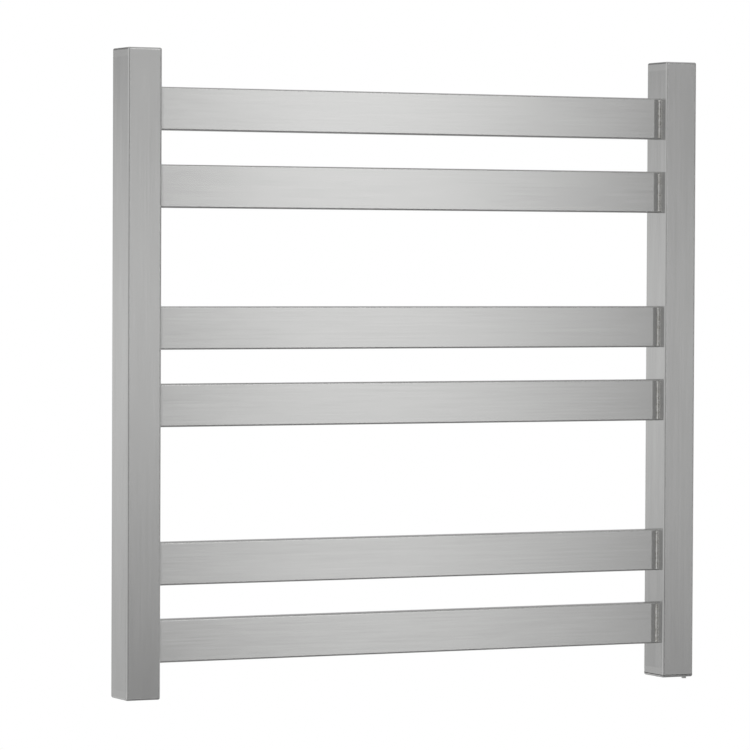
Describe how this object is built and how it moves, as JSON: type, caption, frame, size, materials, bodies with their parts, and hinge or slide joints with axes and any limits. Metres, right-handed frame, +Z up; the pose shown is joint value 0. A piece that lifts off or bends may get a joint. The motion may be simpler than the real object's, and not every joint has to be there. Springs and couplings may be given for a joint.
{
  "type": "towel warmer rack",
  "caption": "Wall-mounted electric ladder rail of brushed stainless steel: upright box posts joined by flat horizontal bars in pairs, warmed from inside, with gaps to hang towels through.",
  "frame": {"origin": "on the wall's surface, in the middle of the four wall bosses", "axes": "+X along the bars, to the right as a person faces the rail; +Y into the wall; +Z up along the posts"},
  "size_m": [0.6, 0.055, 0.602],
  "materials": {
    "post_steel": "satin brushed stainless steel, grain along the post",
    "bar_steel": "satin brushed stainless steel, grain along the bar",
    "plate_steel": "ground stainless steel",
    "weld_steel": "bright cleaned weld bead",
    "sleeve_steel": "turned stainless steel",
    "boss_steel": "turned stainless steel",
    "screw_steel": "machined stainless steel",
    "plain_steel": "mill-finish stainless steel",
    "black_rubber": "matt EPDM rubber",
    "white_nylon": "moulded nylon",
    "terminal_brass": "machined brass",
    "tinned_copper": "tinned copper",
    "silicone_cable": "silicone rubber sheath",
    "splice_sleeve": "shrunk-on sleeve",
    "silicone_bush": "translucent white silicone rubber",
    "cutout_case": "moulded thermoset",
    "live_insulation": "brown silicone insulation",
    "neutral_insulation": "blue silicone insulation",
    "earth_insulation": "green and yellow silicone insulation"
  },
  "bodies": {
    "wall_bosses": {"left_lower_wall_boss": "boss_steel", "left_upper_wall_boss": "boss_steel", "right_lower_wall_boss": "boss_steel", "right_upper_wall_boss": "boss_steel"},
    "rail": {"access_gasket": "black_rubber", "access_plate": "plate_steel", "access_screw_blocks": "plain_steel", "access_screws": "screw_steel", "block_screws": "screw_steel", "cutout_clip": "plain_steel", "earth_lead": "earth_insulation", "earth_nut": "screw_steel", "earth_ring_terminal": "tinned_copper", "earth_stud": "screw_steel", "earth_washer": "screw_steel", "grub_screws": "screw_steel", "heating_cable": "silicone_cable", "left_bar_welds": "weld_steel", "left_cable_bushing_1": "silicone_bush", "left_cable_bushing_2": "silicone_bush", "left_cable_bushing_3": "silicone_bush", "left_cable_bushing_4": "silicone_bush", "left_cable_bushing_5": "silicone_bush", "left_cable_bushing_6": "silicone_bush", "left_lower_sleeve": "sleeve_steel", "left_post": "post_steel", "left_post_bottom_plate": "plate_steel", "left_post_top_plate": "plate_steel", "left_upper_sleeve": "sleeve_steel", "live_lead_lower": "live_insulation", "live_lead_upper": "live_insulation", "lower_splice": "splice_sleeve", "neutral_lead": "neutral_insulation", "pole_sleeves": "terminal_brass", "right_bar_welds": "weld_steel", "right_cable_bushing_1": "silicone_bush", "right_cable_bushing_2": "silicone_bush", "right_cable_bushing_3": "silicone_bush", "right_cable_bushing_4": "silicone_bush", "right_cable_bushing_5": "silicone_bush", "right_cable_bushing_6": "silicone_bush", "right_lower_sleeve": "sleeve_steel", "right_post": "post_steel", "right_post_top_plate": "plate_steel", "right_upper_sleeve": "sleeve_steel", "sleeve_welds": "weld_steel", "supply_grommet": "black_rubber", "terminal_block": "white_nylon", "terminal_bracket": "plain_steel", "terminal_screws": "terminal_brass", "thermal_cutout": "cutout_case", "towel_bar_1": "bar_steel", "towel_bar_2": "bar_steel", "towel_bar_3": "bar_steel", "towel_bar_4": "bar_steel", "towel_bar_5": "bar_steel", "towel_bar_6": "bar_steel", "upper_splice": "splice_sleeve"}
  },
  "joints": [
    {"name": "rail_slide", "type": "slide", "parent": "wall_bosses", "child": "rail", "axis": [0, -1, 0], "range_m": [0, 0.008]}
  ]
}
